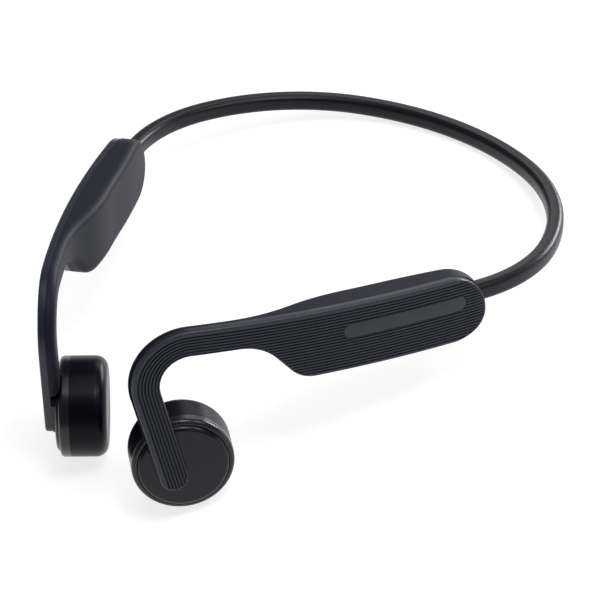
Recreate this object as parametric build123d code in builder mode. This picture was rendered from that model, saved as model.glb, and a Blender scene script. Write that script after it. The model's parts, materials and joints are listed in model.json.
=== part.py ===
from build123d import *
from math import cos, degrees, radians, sin, sqrt, tan
import os

# Bone conduction headphones: a neckband that springs two mirrored units apart. Each unit is an
# electronics pod, an ear hook and a disc-shaped transducer. All lengths are millimetres, all
# angles degrees. The product is drawn as worn, band level, the left unit at +X and the front
# towards -Y, and is laid down on its ear pads and band at the very end.

# ---- Outer face of a unit: an upright arc in plan, running forwards and toeing in ----
face_radius = 260.0
rear_x = 58.9  # the pod's rear end, on the outer face
rear_y = -1.3
rear_heading = 19.7  # toe-in of the face at the rear end

# ---- Side outline of a unit, measured forwards from its rear end and up from the band ----
top_z = 5.9
pod_bottom_z = -11.6
rear_top_radius = 10.45
rear_overhang = 0.6  # how far the pod reaches behind station 0
rear_bottom_reach = 8.3
swell_front = 48.25  # where the pod's underside starts to climb to the arm
swell_slope = 47.8
swell_lower_radius = 8.2
swell_upper_radius = 12.0
arm_width = 6.7
bend_start = 74.95
bend_inner_radius = 7.5
bend_turn = 104.2
strip_length = 23.9

# ---- Depths into a unit, from its outer face ----
cover_depth = 1.9
pod_depth = 8.6
arm_depth = 4.2
tail_start = 26.0  # behind this station the pod thins towards its rear end
tail_radius = 250.0
neck_start = 35.0  # the pod thins down to the arm between these two stations
neck_end = 65.0
wall = 1.2
cover_edge = 0.7  # rounding of the outer cover's rim
housing_edge = 1.9  # rounding of the housing's inner rim
fit_gap = 0.05  # clearance between pieces fixed to each other

# ---- Capsule panel let into the outer cover ----
panel_start = 4.3
panel_length = 33.4
panel_height = 3.9
panel_z = -1.05
panel_thickness = 0.5

# ---- Seal between cover and housing ----
seal_width = 0.45
seal_thickness = 0.4
seal_front = 57.0

# ---- Lead to the transducer ----
lead_channel_width = 2.2
lead_channel_depth = 2.8
lead_width = 1.6
lead_thickness = 0.5
lead_start = 47.0
lead_tail_diameter = 1.2

# ---- Neckband ----
band_depth = 2.95  # centre of the band, in from the outer face
band_z = -0.66
band_width = 4.2
band_height = 4.6
band_corner = 1.5
band_straight = 1.8
side_radius = 37.8
side_turn = 40.0
corner_radius = 51.8
corner_turn = 48.1
sleeve_insert = 6.0
wire_insert = 10.0
cable_insert = 11.5
wire_diameter = 1.3
cable_diameter = 1.0
core_spacing = 1.9  # between the wire's axis and the cable's
clamp_width = 3.0
clamp_height = 6.0
clamp_length = 4.5

# ---- Transducer disc, stacked inwards from its cap ----
disc_reach = 1.95  # how far in front of the bend's start its axis meets the outer face
disc_station = bend_start + disc_reach  # where it meets it, and how deep its cap lies there
disc_depth = 2.0
disc_z = -32.5
disc_toe = 41.0
disc_radius = 12.4
disc_thickness = 12.95
cap_margin = 1.3  # width of the shell's rim around the cap
cap_crown = 0.5
cap_shoulder = 1.3
cap_thickness = 1.1
cap_groove = 0.25
rim_setback = 1.3
rim_rounding = 1.1
ledge_start = 1.9
ledge_thickness = 0.6
ledge_reach = 1.8  # how far the ledge that carries the cap stands in from the shell's wall
parting = 3.9  # where the shell meets the ear pad
spring_thickness = 0.3
spring_arm_width = 0.9
spigot_depth = 0.9
ear_rounding = 3.0
yoke_clearance = 1.5  # between the ledge's bore and the yoke
yoke_wall = 1.0
yoke_base = 1.0
magnet_thickness = 3.2
pole_thickness = 1.0
coil_gap = 0.5
coil_wall = 1.0
coil_overlap = 2.0
coil_rise = 1.6  # how far the coil stands out of the yoke
coil_frame_overhang = 1.0

# ---- Inside the pods ----
pod_station = 27.0  # the boards and the battery lie on a plane tangent to the face here
board_depth = 2.0
board_thickness = 0.8
board_start = 11.8
board_length = 32.0
board_top_z = 3.4
board_bottom_z = -8.7
button_depth = 4.5
button_length = 6.0
button_width = 2.6
button_proud = 0.5
button_clearance = 0.15
button_travel = 0.3
flange_margin = 0.5
flange_thickness = 0.5
volume_down_station = 33.0
volume_up_station = 41.0
multifunction_station = 41.0
switch_length = 3.6
switch_height = 2.2
switch_thickness = 2.6
plunger_diameter = 1.4
plunger_height = 0.4
port_station = 20.9
port_width = 8.94
port_thickness = 3.26
port_length = 7.3
port_corner = 1.2
port_wall = 0.3
port_mouth_rise = 0.85
tongue_width = 6.7
tongue_thickness = 0.7
tongue_setback = 1.0
flap_length = 12.6
flap_width = 4.4
flap_thickness = 0.6
plug_height = 0.9
plug_margin = 0.4
mic_station = 13.0
mic_length = 2.2
mic_width = 2.6
mic_height = 1.1
mic_hole = 1.2
mic_lift = 0.6
mesh_recess = 0.2
mesh_thickness = 0.2
small_hole_depth = 3.5
light_station = 28.7
light_diameter = 1.0
light_length = 3.2
chip_station = 33.0
chip_z = -1.5
chip_size = 5.0
chip_thickness = 0.9
antenna_station = 39.6
antenna_z = 1.8
antenna_length = 6.5
antenna_width = 2.0
antenna_thickness = 1.1
battery_station = 25.5
battery_length = 27.0
battery_height = 9.4
battery_thickness = 4.3
battery_z = -0.9
foam_thickness = 0.6
button_board_length = 8.0
button_board_top_z = -6.0

# ---- Worked out from the sizes above ----
face_centre_x = rear_x - face_radius * cos(radians(rear_heading))
face_centre_y = rear_y + face_radius * sin(radians(rear_heading))
bend_outer_radius = bend_inner_radius + arm_width
bend_centre_z = top_z - bend_outer_radius
rear_arc_z = top_z - rear_top_radius
arm_underside_z = top_z - arm_width
tip_radius = arm_width / 2
unit_length = bend_start + bend_outer_radius
wall_z = pod_bottom_z + wall
cap_radius = disc_radius - cap_margin
ledge_bore = disc_radius - wall - ledge_reach
yoke_radius = ledge_bore - yoke_clearance
magnet_radius = yoke_radius - yoke_wall - coil_wall - 2 * coil_gap
coil_frame_radius = yoke_radius + coil_frame_overhang
yoke_start = ledge_start + ledge_thickness + spring_thickness
magnet_top = yoke_start + yoke_base + magnet_thickness
pole_top = magnet_top + pole_thickness
coil_radius = magnet_radius + coil_gap
coil_frame_start = pole_top + coil_rise
pad_floor = disc_thickness - wall
board_face = board_depth + board_thickness
port_depth = board_face + fit_gap + port_thickness / 2
seal_inset = flap_thickness + 2 * fit_gap  # the seal runs above the port cover's recess
clear_of_all = 60.0  # half-height of the tall prisms that outlines are cut from


# ---- Places on a unit ----
def heading(station):
    """Toe-in of the outer face at a distance from the pod's rear end."""
    return rear_heading + degrees(station / face_radius)


def face_point(station, depth=0.0, z=0.0):
    """A point of the left unit, at a depth behind its outer face."""
    angle = radians(heading(station))
    reach = face_radius - depth
    return Vector(face_centre_x + reach * cos(angle), face_centre_y - reach * sin(angle), z)


def face_plane(station, depth=0.0, z=0.0):
    """Plane along the outer face: x forwards, y up, z into the unit."""
    angle = radians(heading(station))
    forwards = (-sin(angle), -cos(angle), 0)
    inwards = (-cos(angle), sin(angle), 0)
    return Plane(origin=face_point(station, depth, z), x_dir=forwards, z_dir=inwards)


def in_pod(station, z, depth):
    """Plane of a piece inside the pod, all on the flat frame that the boards share."""
    frame = face_plane(pod_station)
    origin = frame.from_local_coords(Vector(station - pod_station, z, depth))
    return Plane(origin=origin, x_dir=frame.x_dir, z_dir=frame.z_dir)


def under_pod(station, depth=button_depth, rise=0.0):
    """Plane facing down, a rise above the pod's underside: x forwards, y into the unit."""
    frame = in_pod(station, pod_bottom_z + rise, depth)
    return Plane(origin=frame.origin, x_dir=frame.x_dir, z_dir=(0, 0, -1))


def disc_plane(inwards=0.0):
    """Plane across the transducer, at a distance inwards from its cap."""
    axis = Vector(-cos(radians(disc_toe)), sin(radians(disc_toe)), 0)
    forwards = Vector(-sin(radians(disc_toe)), -cos(radians(disc_toe)), 0)
    origin = face_point(disc_station, disc_depth, disc_z) + axis * inwards
    return Plane(origin=origin, x_dir=forwards, z_dir=axis)


def disc_section():
    """Plane through the transducer's axis: x is the radius and y runs inwards."""
    across = disc_plane()
    return Plane(origin=across.origin, x_dir=across.x_dir, z_dir=across.x_dir.cross(across.z_dir))


disc_axis = Axis(disc_plane().origin, disc_plane().z_dir)
side_station = unit_length / 2
side_middle = face_plane(side_station)
side_view = Plane(
    origin=side_middle.origin - side_middle.x_dir * side_station,
    x_dir=side_middle.x_dir,
    z_dir=side_middle.z_dir,
)


# ---- Outlines ----
def smooth_join(start, leaving, end, arriving):
    """Two tangent arcs from one point to another, drawn in the line being built."""
    start, end = Vector(start), Vector(end)
    leaving, arriving = Vector(leaving).normalized(), Vector(arriving).normalized()
    span, both = end - start, leaving + arriving
    spread = 2 * (1 - leaving.dot(arriving))
    along = span.dot(both)
    pull = (sqrt(along**2 + spread * span.dot(span)) - along) / spread
    joint = (start + leaving * pull + end - arriving * pull) / 2
    first = TangentArc(start, joint, tangent=leaving)
    TangentArc(joint, end, tangent=first % 1)


with BuildSketch() as side_outline:
    with BuildLine():
        rear_centre_x = rear_top_radius - rear_overhang
        crown = Line((rear_centre_x, top_z), (bend_start, top_z))
        outer_bend = JernArc(crown @ 1, crown % 1, bend_outer_radius, -bend_turn)
        outer_strip = Line(outer_bend @ 1, outer_bend @ 1 + (outer_bend % 1) * strip_length)
        tip = JernArc(outer_strip @ 1, outer_strip % 1, tip_radius, -180)
        inner_strip = Line(tip @ 1, tip @ 1 - (outer_strip % 1) * strip_length)
        inner_bend = JernArc(inner_strip @ 1, inner_strip % 1, bend_inner_radius, bend_turn)
        climb = (arm_underside_z - pod_bottom_z) / tan(radians(swell_slope))
        underside = FilletPolyline(
            inner_bend @ 1,
            (swell_front + climb, arm_underside_z),
            (swell_front, pod_bottom_z),
            (rear_bottom_reach, pod_bottom_z),
            radius=(swell_upper_radius, swell_lower_radius),
        )
        rear_end = (-rear_overhang, rear_arc_z)
        smooth_join(underside @ 1, (-1, 0), rear_end, (0, 1))
        RadiusArc(rear_end, crown @ 0, rear_top_radius)
    make_face()

with BuildSketch() as pod_outline:
    add(side_outline.sketch)
    with Locations((seal_front, 0)):
        Rectangle(seal_front, 4 * rear_top_radius, align=(Align.MAX, Align.CENTER), mode=Mode.INTERSECT)

with BuildSketch() as cavity_outline:
    offset(pod_outline.sketch, amount=-wall, kind=Kind.INTERSECTION)

with BuildLine() as arm_centre:
    centre_z = top_z - arm_width / 2
    reach = Line((lead_start, centre_z), (bend_start, centre_z))
    turn = JernArc(reach @ 1, reach % 1, bend_outer_radius - arm_width / 2, -bend_turn)
    fall = Line(turn @ 1, turn @ 1 + (turn % 1) * strip_length)
tail_point = fall @ 1 - (fall % 1) * lead_channel_width / 2  # where the lead turns into the disc


def traced(width):
    """A strip of a width along the middle of the arm, as far as the middle of its tip."""
    with BuildSketch() as strip:
        trace(arm_centre.line, line_width=width)
    return strip.sketch


def face_arc(start, end, depth):
    """Arc in plan that keeps one depth behind the outer face."""
    return ThreePointArc(
        face_point(start, depth), face_point((start + end) / 2, depth), face_point(end, depth)
    )


def plan_band(outer, in_pod_to, in_arm_to, tail=False):
    """Plan outline between one depth and another, which may be less in the arm and, with a tail, at the rear."""
    start, end = -rear_top_radius, unit_length + rear_top_radius
    with BuildSketch() as band:
        with BuildLine():
            outside = face_arc(start, end, outer)
            pod_side = face_arc(tail_start if tail else start, neck_start, in_pod_to)
            arm_side = face_arc(neck_end, end, in_arm_to)
            smooth_join(pod_side @ 1, pod_side % 1, arm_side @ 0, arm_side % 0)
            rear = pod_side
            if tail:
                radius = tail_radius + in_pod_to - pod_depth
                turn = degrees((tail_start - start) / tail_radius)
                rear = JernArc(pod_side @ 0, (pod_side % 0) * -1, radius, -turn)
            Line(outside @ 0, rear @ (1 if tail else 0))
            Line(outside @ 1, arm_side @ 1)
        make_face()
    return band.sketch


def prism(outline, band):
    """Solid of a unit with a given side outline and a given plan."""
    with BuildPart() as body:
        with BuildSketch(side_view):
            add(outline)
        extrude(amount=clear_of_all, both=True)
        with BuildSketch(Plane.XY):
            add(band)
        extrude(amount=clear_of_all, both=True, mode=Mode.INTERSECT)
    return body.part


def looks(face, direction):
    """How far an upright face looks in a unit's own direction: 1 is square on, -1 square away."""
    middle = face.center()
    away = Vector(middle.X - face_centre_x, middle.Y - face_centre_y, 0).normalized()
    return face.normal_at(middle).dot(away) * direction


# ---- Neckband route ----
def band_route(insert):
    """Left half of the band's centre line, from an insert inside the pod to the middle of the neck."""
    entry = face_plane(0, band_depth)
    backwards = entry.x_dir * -1
    outside = entry.origin + backwards * band_straight
    turned = side_turn + corner_turn - rear_heading
    with BuildLine() as route:
        stem = Line(entry.origin - backwards * insert, outside)
        side = JernArc(stem @ 1, backwards, side_radius, side_turn)
        corner = JernArc(side @ 1, side % 1, corner_radius, corner_turn)
        back_radius = (corner @ 1).X / cos(radians(turned))
        JernArc(corner @ 1, corner % 1, back_radius, 90 - turned)
    return route.line.moved(Location((0, 0, band_z)))


def band_section(insert):
    """Plane across the band at its inner end: x towards the inside of the loop, y up."""
    entry = face_plane(0, band_depth, band_z)
    return Plane(origin=entry.origin + entry.x_dir * insert, x_dir=entry.z_dir, z_dir=entry.x_dir * -1)


wire_z = core_spacing / 2
cable_z = -core_spacing / 2

with BuildPart() as neckband_sleeve:
    with BuildSketch(band_section(sleeve_insert)):
        RectangleRounded(band_width, band_height, band_corner)
        with Locations((0, wire_z)):
            Circle(wire_diameter / 2 + fit_gap, mode=Mode.SUBTRACT)
        with Locations((0, cable_z)):
            Circle(cable_diameter / 2 + fit_gap, mode=Mode.SUBTRACT)
    sweep(path=band_route(sleeve_insert))
    mirror(about=Plane.YZ)

with BuildPart() as neckband_wire:
    with BuildSketch(band_section(wire_insert)):
        with Locations((0, wire_z)):
            Circle(wire_diameter / 2)
    sweep(path=band_route(wire_insert))
    mirror(about=Plane.YZ)

with BuildPart() as neckband_cable:
    with BuildSketch(band_section(cable_insert)):
        with Locations((0, cable_z)):
            Circle(cable_diameter / 2)
    sweep(path=band_route(cable_insert))
    mirror(about=Plane.YZ)

with BuildPart() as band_passage:  # the way that the sleeve takes through the pod's rear wall
    with BuildSketch(band_section(sleeve_insert)):
        RectangleRounded(band_width + 2 * fit_gap, band_height + 2 * fit_gap, band_corner)
    extrude(amount=sleeve_insert + rear_top_radius)

with BuildPart() as band_clamp:
    with BuildSketch(band_section(sleeve_insert + fit_gap)):
        RectangleRounded(clamp_width, clamp_height, fit_gap * 10)
        with Locations((0, wire_z)):
            Circle(wire_diameter / 2 + fit_gap, mode=Mode.SUBTRACT)
        with Locations((0, cable_z)):
            Circle(cable_diameter / 2 + fit_gap, mode=Mode.SUBTRACT)
    extrude(amount=-clamp_length)

# ---- Casings ----
hollow = prism(cavity_outline.sketch, plan_band(wall, pod_depth - wall, arm_depth - wall, tail=True))
cover_channel = prism(
    traced(lead_channel_width), plan_band(cover_depth - lead_thickness - fit_gap, cover_depth, cover_depth)
)
housing_channel = prism(traced(lead_channel_width), plan_band(cover_depth, pod_depth, lead_channel_depth))

with BuildPart() as disc_envelope:
    with BuildSketch(disc_plane(-cover_depth)):
        Circle(disc_radius + 2 * fit_gap)
    extrude(amount=disc_thickness + cover_depth)


def capsule(margin, thickness):
    """The panel on the outer cover, grown by a margin and let in from the face by a thickness."""
    middle_x = panel_start + panel_length / 2
    with BuildSketch() as outline:
        with Locations((middle_x, panel_z)):
            SlotOverall(panel_length + 2 * margin, panel_height + 2 * margin)
    return prism(outline.sketch, plan_band(-wall if margin else 0, thickness, thickness))


with BuildPart() as outer_cover:
    add(prism(side_outline.sketch, plan_band(0, cover_depth, cover_depth)))
    outer_face = faces().filter_by(GeomType.CYLINDER).sort_by(lambda face: looks(face, 1))[-1]
    fillet(outer_face.edges(), radius=cover_edge)
    add(hollow, mode=Mode.SUBTRACT)
    add(cover_channel, mode=Mode.SUBTRACT)
    add(band_passage.part, mode=Mode.SUBTRACT)
    add(capsule(fit_gap, panel_thickness + fit_gap), mode=Mode.SUBTRACT)

with BuildPart() as badge_panel:
    add(capsule(0, panel_thickness))

with BuildSketch() as seal_outline:
    offset(pod_outline.sketch, amount=-seal_inset, kind=Kind.INTERSECTION)
    offset(
        pod_outline.sketch,
        amount=-seal_inset - seal_width,
        kind=Kind.INTERSECTION,
        mode=Mode.SUBTRACT,
    )

with BuildPart() as cover_seal:
    seal_floor = cover_depth + seal_thickness
    add(prism(seal_outline.sketch, plan_band(cover_depth, seal_floor, seal_floor)))
    add(band_passage.part, mode=Mode.SUBTRACT)


def housing_shell():
    """Inner casing of a unit, before the openings of its own controls."""
    with BuildPart() as shell:
        add(prism(side_outline.sketch, plan_band(cover_depth, pod_depth, arm_depth, tail=True)))
        inner_faces = shell.faces().filter_by(lambda face: looks(face, -1) > 0.9)
        rim = inner_faces.edges().filter_by(Axis.Z, reverse=True)
        fillet(rim, radius=housing_edge)
        add(hollow, mode=Mode.SUBTRACT)
        add(housing_channel, mode=Mode.SUBTRACT)
        add(disc_envelope.part, mode=Mode.SUBTRACT)
        add(band_passage.part, mode=Mode.SUBTRACT)
        add(cover_seal.part, mode=Mode.SUBTRACT)
    return shell.part


def button_holes(*stations):
    """Slots through the pod's bottom wall for its buttons."""
    with BuildPart() as slots:
        for station in stations:
            with BuildSketch(under_pod(station, rise=2 * wall)):
                SlotOverall(button_length + 2 * button_clearance, button_width + 2 * button_clearance)
            extrude(amount=3 * wall)
    return slots.part


with BuildPart() as left_inner_housing:
    add(housing_shell())
    add(button_holes(multifunction_station), mode=Mode.SUBTRACT)

with BuildPart() as right_inner_housing:  # drawn on the left like every piece, mirrored at the end
    add(housing_shell())
    add(button_holes(volume_down_station, volume_up_station), mode=Mode.SUBTRACT)
    with BuildSketch(under_pod(port_station, port_depth)):
        RectangleRounded(flap_length + 4 * fit_gap, flap_width + 4 * fit_gap, port_corner)
    extrude(amount=-flap_thickness - fit_gap, mode=Mode.SUBTRACT)
    with BuildSketch(under_pod(port_station, port_depth)):
        RectangleRounded(port_width + 2 * fit_gap, port_thickness + 2 * fit_gap, port_corner)
    extrude(amount=-2 * wall, mode=Mode.SUBTRACT)
    with BuildSketch(under_pod(mic_station, small_hole_depth)):
        Circle(mic_hole / 2)
    extrude(amount=-2 * wall, mode=Mode.SUBTRACT)
    with BuildSketch(under_pod(light_station, small_hole_depth)):
        Circle(light_diameter / 2 + fit_gap)
    extrude(amount=-2 * wall, mode=Mode.SUBTRACT)

with BuildPart() as transducer_lead:
    lead_top = cover_depth - lead_thickness
    add(prism(traced(lead_width), plan_band(lead_top, cover_depth - fit_gap, cover_depth - fit_gap)))
    tail_start = face_point(tail_point.X, lead_top, tail_point.Y)
    tail_end = disc_plane(ledge_start + ledge_thickness - fit_gap)
    with BuildSketch(Plane(origin=tail_start, x_dir=tail_end.x_dir, z_dir=tail_end.z_dir)):
        Circle(lead_tail_diameter / 2)
    extrude(amount=-tail_end.to_local_coords(tail_start).Z)

# ---- Transducers ----
with BuildPart() as lead_hole:
    with BuildSketch(Plane(origin=tail_start, x_dir=tail_end.x_dir, z_dir=tail_end.z_dir)):
        Circle(lead_tail_diameter / 2 + 2 * fit_gap)
    extrude(amount=disc_thickness)

with BuildPart() as transducer_shell:
    with BuildSketch(disc_section()):
        with BuildLine():
            Polyline(
                (disc_radius - wall, rim_setback),
                (disc_radius, rim_setback),
                (disc_radius, parting),
                (disc_radius - wall, parting),
                (disc_radius - wall, ledge_start + ledge_thickness),
                (ledge_bore, ledge_start + ledge_thickness),
                (ledge_bore, ledge_start),
                (disc_radius - wall, ledge_start),
                close=True,
            )
        make_face()
        fillet(vertices().group_by(Axis.X)[-1].group_by(Axis.Y)[0], radius=rim_rounding)
    revolve(axis=disc_axis)

with BuildPart() as cap_seat:  # raised bed that the tip of the arm lies on
    add(prism(side_outline.sketch, plan_band(cover_depth + fit_gap, pod_depth, pod_depth)))
    with BuildSketch(disc_plane(-cover_depth)):
        Circle(cap_radius - cap_shoulder)
    extrude(amount=cover_depth + cap_thickness / 2, mode=Mode.INTERSECT)

with BuildPart() as transducer_cap:
    with BuildSketch(disc_section()):
        with BuildLine():
            dome = TangentArc((0, 0), (cap_radius, cap_crown), tangent=(1, 0))
            Polyline(
                dome @ 1,
                (cap_radius, ledge_start),
                (ledge_bore, ledge_start),
                (ledge_bore, cap_thickness),
                (0, cap_thickness),
                (0, 0),
            )
        make_face()
        fillet(vertices().group_by(Axis.X)[-1].group_by(Axis.Y)[0], radius=cap_shoulder)
    revolve(axis=disc_axis)
    add(cap_seat.part)
    add(lead_hole.part, mode=Mode.SUBTRACT)

with BuildPart() as spring_plate:
    with BuildSketch(disc_plane(ledge_start + ledge_thickness)):
        Circle(disc_radius - wall - fit_gap)
        slot_radius = (yoke_radius + ledge_bore) / 2
        with PolarLocations(0, 3):
            SlotArc(CenterArc((0, 0), slot_radius, 0, 90), spring_arm_width, mode=Mode.SUBTRACT)
    extrude(amount=spring_thickness)

with BuildPart() as yoke:
    with BuildSketch(disc_plane(yoke_start)):
        Circle(yoke_radius)
    extrude(amount=pole_top - yoke_start)
    with BuildSketch(disc_plane(yoke_start + yoke_base)):
        Circle(yoke_radius - yoke_wall)
    extrude(amount=pole_top - yoke_start, mode=Mode.SUBTRACT)

with BuildPart() as magnet:
    with BuildSketch(disc_plane(yoke_start + yoke_base)):
        Circle(magnet_radius)
    extrude(amount=magnet_thickness)

with BuildPart() as pole_plate:
    with BuildSketch(disc_plane(magnet_top)):
        Circle(magnet_radius)
    extrude(amount=pole_thickness)

with BuildPart() as voice_coil:
    with BuildSketch(disc_plane(pole_top - coil_overlap)):
        Circle(coil_radius + coil_wall)
        Circle(coil_radius, mode=Mode.SUBTRACT)
    extrude(amount=coil_frame_start - pole_top + coil_overlap)

with BuildPart() as coil_frame:
    with BuildSketch(disc_plane(coil_frame_start)):
        Circle(coil_frame_radius)
    extrude(amount=pad_floor - fit_gap - coil_frame_start)

with BuildPart() as ear_pad:
    with BuildSketch(disc_section()):
        spigot_radius = disc_radius - wall - fit_gap
        with BuildLine():
            Polyline(
                (0, disc_thickness),
                (disc_radius, disc_thickness),
                (disc_radius, parting),
                (spigot_radius, parting),
                (spigot_radius, parting - spigot_depth),
                (spigot_radius - wall, parting - spigot_depth),
                (spigot_radius - wall, pad_floor),
                (0, pad_floor),
                close=True,
            )
        make_face()
        fillet(vertices().group_by(Axis.X)[-1].group_by(Axis.Y)[-1], radius=ear_rounding)
    revolve(axis=disc_axis)

# ---- Left pod ----
with BuildPart() as battery_foam:
    with BuildSketch(in_pod(battery_station, battery_z, board_depth)):
        RectangleRounded(battery_length - 4 * wall, battery_height - 4 * wall, wall)
    extrude(amount=foam_thickness)

with BuildPart() as battery:
    with BuildSketch(in_pod(battery_station, battery_z, board_depth + foam_thickness)):
        RectangleRounded(battery_length, battery_height, wall)
    extrude(amount=battery_thickness)

with BuildPart() as button_board:
    middle_z = (button_board_top_z + board_bottom_z) / 2
    with BuildSketch(in_pod(multifunction_station, middle_z, board_depth)):
        Rectangle(button_board_length, button_board_top_z - board_bottom_z)
    extrude(amount=board_thickness)


# ---- Buttons and their switches ----
def push_button(station):
    """Button in the pod's underside, with a flange that keeps it in."""
    with BuildPart() as button:
        with BuildSketch(under_pod(station, rise=-button_proud)):
            SlotOverall(button_length, button_width)
        extrude(amount=-button_proud - wall - flange_thickness)
        fillet(button.faces().sort_by(Axis.Z)[0].edges(), radius=button_proud / 2)
        with BuildSketch(under_pod(station, rise=wall + 2 * fit_gap)):
            SlotOverall(button_length + 2 * flange_margin, button_width + 2 * flange_margin)
        extrude(amount=-flange_thickness)
    return button


def switch(station):
    """Solid of a side-push switch on the board, a button's travel above its flange."""
    plunger_rise = wall + 3 * fit_gap + flange_thickness + button_travel
    with BuildPart() as tact:
        body_z = pod_bottom_z + plunger_rise + plunger_height + switch_height / 2
        with BuildSketch(in_pod(station, body_z, board_face + fit_gap)):
            Rectangle(switch_length, switch_height)
        extrude(amount=switch_thickness)
        with BuildSketch(under_pod(station, rise=plunger_rise)):
            Circle(plunger_diameter / 2)
        extrude(amount=-plunger_height - switch_height / 2)
    return tact.part


multifunction_button = push_button(multifunction_station)
volume_down_button = push_button(volume_down_station)
volume_up_button = push_button(volume_up_station)

with BuildPart() as multifunction_switch:
    add(switch(multifunction_station))

with BuildPart() as volume_switches:
    add(switch(volume_down_station))
    add(switch(volume_up_station))

# ---- Right pod, drawn on the left like every piece ----
with BuildPart() as circuit_board:
    middle = board_start + board_length / 2
    with BuildSketch(in_pod(middle, (board_top_z + board_bottom_z) / 2, board_depth)):
        RectangleRounded(board_length, board_top_z - board_bottom_z, wall)
    extrude(amount=board_thickness)

with BuildPart() as bluetooth_chip:
    with BuildSketch(in_pod(chip_station, chip_z, board_face + fit_gap)):
        Rectangle(chip_size, chip_size)
    extrude(amount=chip_thickness)

with BuildPart() as antenna:
    with BuildSketch(in_pod(antenna_station, antenna_z, board_face + fit_gap)):
        Rectangle(antenna_length, antenna_width)
    extrude(amount=antenna_thickness)

with BuildPart() as usb_socket:
    with BuildSketch(under_pod(port_station, port_depth, port_mouth_rise)):
        RectangleRounded(port_width, port_thickness, port_corner)
    extrude(amount=-port_length)
    with BuildSketch(under_pod(port_station, port_depth, port_mouth_rise)):
        mouth_width, mouth_height = port_width - 2 * port_wall, port_thickness - 2 * port_wall
        RectangleRounded(mouth_width, mouth_height, port_corner - port_wall)
    extrude(amount=-port_length + port_wall, mode=Mode.SUBTRACT)
    with BuildSketch(under_pod(port_station, port_depth, port_mouth_rise + tongue_setback)):
        Rectangle(tongue_width, tongue_thickness)
    extrude(amount=-port_length + tongue_setback)

with BuildPart() as port_cover:
    with BuildSketch(under_pod(port_station, port_depth)):
        RectangleRounded(flap_length, flap_width, port_corner)
    extrude(amount=-flap_thickness)
    with BuildSketch(under_pod(port_station, port_depth, flap_thickness)):
        plug_width = mouth_width - 2 * plug_margin
        plug_thickness = mouth_height - plug_margin
        RectangleRounded(plug_width, plug_thickness, plug_margin)
    extrude(amount=-plug_height)

with BuildPart() as microphone:
    mic_z = wall_z + mic_lift + mic_height / 2
    with BuildSketch(in_pod(mic_station, mic_z, board_face + fit_gap)):
        Rectangle(mic_length, mic_height)
    extrude(amount=mic_width)

with BuildPart() as microphone_mesh:
    with BuildSketch(under_pod(mic_station, small_hole_depth, mesh_recess)):
        Circle(mic_hole / 2 - fit_gap)
    extrude(amount=-mesh_thickness)

with BuildPart() as status_light:
    with BuildSketch(under_pod(light_station, small_hole_depth)):
        Circle(light_diameter / 2)
    extrude(amount=-light_length)


# ---- Lying down: the product leans back until its ear pads and its band share one plane ----
def pad_height(lean):
    """Lowest point of the ear pads' rounded rims once the product leans back."""
    rim = disc_plane(disc_thickness - ear_rounding)
    tilt = sin(radians(lean))
    across = rim.z_dir.Y * tilt
    centre = rim.origin.Z * cos(radians(lean)) - rim.origin.Y * tilt
    return centre - (disc_radius - ear_rounding) * sqrt(1 - across**2) - ear_rounding


def band_bottom(lean):
    """Lowest point of the back of the band once the product leans back."""
    back = (band_route(sleeve_insert) @ 1).Y
    tilt, upright = sin(radians(lean)), cos(radians(lean))
    flat = (band_width / 2 - band_corner) * tilt + (band_height / 2 - band_corner) * upright
    return -back * tilt - flat - band_corner


lean_low, lean_high = 0.0, 45.0
while lean_high - lean_low > 1e-6:
    lean = (lean_low + lean_high) / 2
    if pad_height(lean) < band_bottom(lean):
        lean_low = lean
    else:
        lean_high = lean

mirrored_pieces = {
    "outer_cover": outer_cover,
    "badge_panel": badge_panel,
    "cover_seal": cover_seal,
    "band_clamp": band_clamp,
    "transducer_lead": transducer_lead,
    "transducer_shell": transducer_shell,
    "transducer_cap": transducer_cap,
    "spring_plate": spring_plate,
    "yoke": yoke,
    "magnet": magnet,
    "pole_plate": pole_plate,
    "voice_coil": voice_coil,
    "coil_frame": coil_frame,
    "ear_pad": ear_pad,
}
left_pieces = {
    "neckband_sleeve": neckband_sleeve,
    "neckband_wire": neckband_wire,
    "neckband_cable": neckband_cable,
    "left_inner_housing": left_inner_housing,
    "battery": battery,
    "battery_foam": battery_foam,
    "button_board": button_board,
    "multifunction_button": multifunction_button,
    "multifunction_switch": multifunction_switch,
}
right_pieces = {
    "right_inner_housing": right_inner_housing,
    "circuit_board": circuit_board,
    "bluetooth_chip": bluetooth_chip,
    "antenna": antenna,
    "usb_socket": usb_socket,
    "port_cover": port_cover,
    "volume_down_button": volume_down_button,
    "volume_up_button": volume_up_button,
    "volume_switches": volume_switches,
    "microphone": microphone,
    "microphone_mesh": microphone_mesh,
    "status_light": status_light,
}
for name, piece in mirrored_pieces.items():
    left_pieces["left_" + name] = piece
    right_pieces["right_" + name] = piece

leaning = Location((0, 0, 0), (-lean, 0, 0))
outside = Compound([piece.part.moved(leaning) for piece in (neckband_sleeve, outer_cover, ear_pad)])
reach_box = outside.bounding_box()
lie_down = Location((0, -reach_box.center().Y, -reach_box.min.Z)) * leaning

os.makedirs("parts", exist_ok=True)
for pieces, mirrored in ((left_pieces, False), (right_pieces, True)):
    for name, drawn in pieces.items():
        with BuildPart() as piece:
            add(drawn.part)
            if mirrored:
                mirror(about=Plane.YZ, mode=Mode.REPLACE)
        piece.part.move(lie_down)
        piece.part.label = name
        export_step(piece.part, f"parts/{name}.step")

print(f"lean {lean:.3f} degrees, {len(left_pieces) + len(right_pieces)} pieces")
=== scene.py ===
"""Bone conduction headphones: the visible shapes, their finishes, a plain studio and the camera.

Shapes are drawn in millimetres as the headphones are worn: +X to the wearer's left, +Z up, the band level
at z = 0. Stand turns them into the frame's metres, where the product lies on its ear pads and its band.
"""

from __future__ import annotations

import json
import logging
import math
from collections.abc import Iterable
from dataclasses import dataclass, field
from enum import Enum
from typing import Any

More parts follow.
